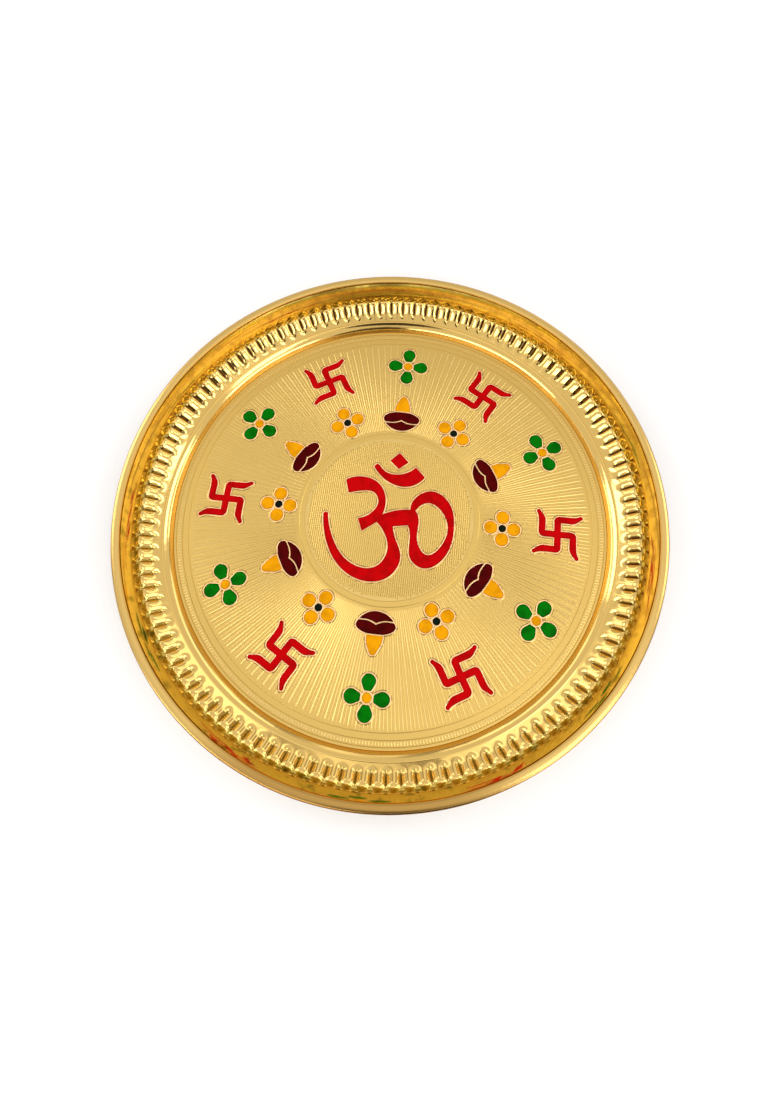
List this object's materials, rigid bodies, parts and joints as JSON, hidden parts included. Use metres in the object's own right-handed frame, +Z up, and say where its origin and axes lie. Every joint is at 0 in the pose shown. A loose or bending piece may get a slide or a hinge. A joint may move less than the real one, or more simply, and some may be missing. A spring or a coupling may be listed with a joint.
{
  "type": "puja thali",
  "caption": "Round pressed brass prayer tray with a gadrooned wall, a rolled lip and enamel signs, flowers and lamps on its flat floor.",
  "frame": {"origin": "middle of the flat underside, where the tray rests", "axes": "+Z up out of the tray, +Y towards the top of the central sign, +X to its right"},
  "size_m": [0.28, 0.28, 0.0242],
  "materials": {
    "brass": "pressed and polished, gold lacquer",
    "red_enamel": "glossy enamel fill",
    "green_enamel": "glossy enamel fill",
    "yellow_enamel": "glossy enamel fill",
    "maroon_enamel": "glossy enamel fill",
    "black_enamel": "glossy enamel fill"
  },
  "bodies": {
    "root": {"thali_plate": "brass", "om_body": "red_enamel", "om_crescent": "red_enamel", "om_dot": "red_enamel", "green_petals_1": "green_enamel", "green_petals_2": "green_enamel", "green_petals_3": "green_enamel", "green_petals_4": "green_enamel", "green_petals_5": "green_enamel", "green_petals_6": "green_enamel", "green_centre_1": "yellow_enamel", "green_centre_2": "yellow_enamel", "green_centre_3": "yellow_enamel", "green_centre_4": "yellow_enamel", "green_centre_5": "yellow_enamel", "green_centre_6": "yellow_enamel", "swastika_1": "red_enamel", "swastika_2": "red_enamel", "swastika_3": "red_enamel", "swastika_4": "red_enamel", "swastika_5": "red_enamel", "swastika_6": "red_enamel", "lamp_bowl_1": "maroon_enamel", "lamp_bowl_2": "maroon_enamel", "lamp_bowl_3": "maroon_enamel", "lamp_bowl_4": "maroon_enamel", "lamp_bowl_5": "maroon_enamel", "lamp_bowl_6": "maroon_enamel", "lamp_flame_1": "yellow_enamel", "lamp_flame_2": "yellow_enamel", "lamp_flame_3": "yellow_enamel", "lamp_flame_4": "yellow_enamel", "lamp_flame_5": "yellow_enamel", "lamp_flame_6": "yellow_enamel", "yellow_petals_1": "yellow_enamel", "yellow_petals_2": "yellow_enamel", "yellow_petals_3": "yellow_enamel", "yellow_petals_4": "yellow_enamel", "yellow_petals_5": "yellow_enamel", "yellow_petals_6": "yellow_enamel", "yellow_centre_1": "black_enamel", "yellow_centre_2": "black_enamel", "yellow_centre_3": "black_enamel", "yellow_centre_4": "black_enamel", "yellow_centre_5": "black_enamel", "yellow_centre_6": "black_enamel"}
  },
  "joints": []
}
